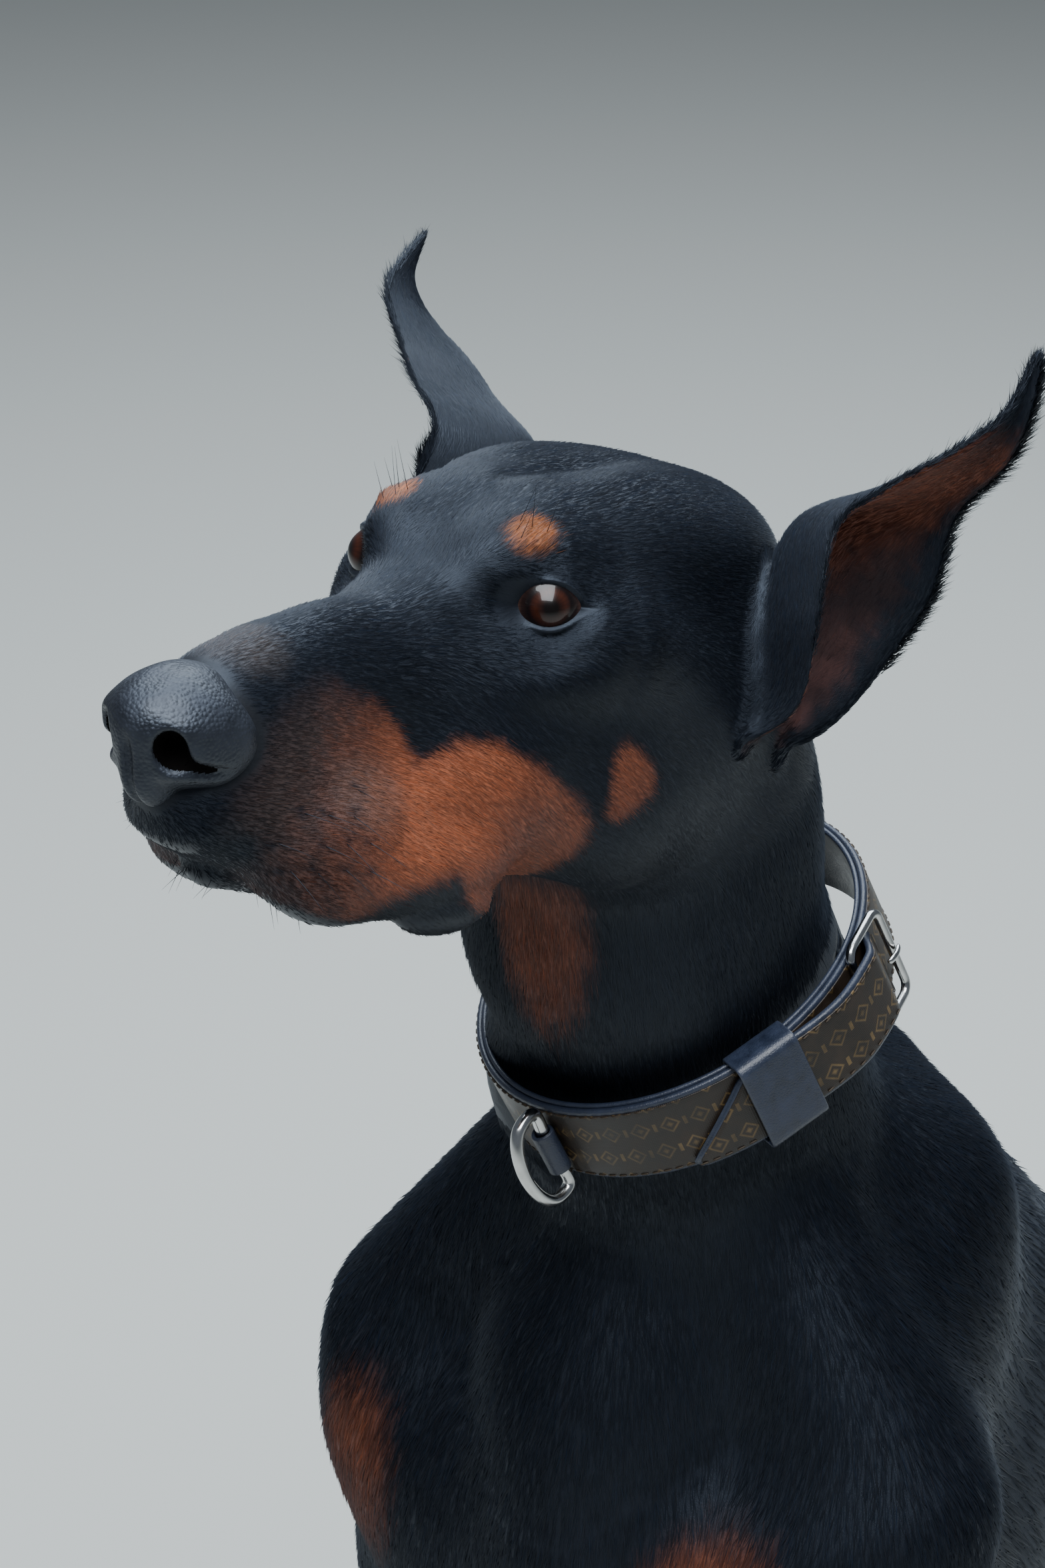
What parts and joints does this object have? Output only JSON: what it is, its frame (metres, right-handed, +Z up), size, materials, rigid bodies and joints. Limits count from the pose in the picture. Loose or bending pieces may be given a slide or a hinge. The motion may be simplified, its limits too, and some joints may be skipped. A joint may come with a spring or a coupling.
{
  "type": "sitting doberman pinscher",
  "caption": "Short-haired black and rust dog, sitting upright with its nose raised, with cropped ears, a docked tail and a wide buckled collar.",
  "frame": {"origin": "middle of the footprint of the whole dog, on the floor", "axes": "+Z up, the dog faces -Y, +X to the dog's own left"},
  "size_m": [0.352, 0.7848, 0.9761],
  "materials": {
    "black_coat": "short glossy black fur",
    "rust_coat": "short rust brown fur",
    "nose_leather": "moist pebbled skin",
    "eye": "wet and clear, dark brown iris",
    "canvas": "coated canvas, satin",
    "strap_leather": "smooth dark blue leather",
    "steel": "polished"
  },
  "bodies": {
    "root": {"head": "black_coat", "nose": "nose_leather", "eye_left": "eye", "eye_right": "eye", "lower_jaw": "black_coat", "ear_left": "black_coat", "ear_right": "black_coat", "neck": "black_coat", "torso": "black_coat", "foreleg_left": "black_coat", "forepaw_left": "rust_coat", "thigh_left": "black_coat", "shank_left": "black_coat", "hind_foot_left": "rust_coat", "foreleg_right": "black_coat", "forepaw_right": "rust_coat", "thigh_right": "black_coat", "shank_right": "black_coat", "hind_foot_right": "rust_coat", "tail": "black_coat", "collar_strap": "canvas", "collar_free_end": "canvas", "collar_keeper": "strap_leather", "collar_buckle": "steel", "collar_ring": "steel", "collar_ring_loop": "strap_leather"}
  },
  "joints": []
}
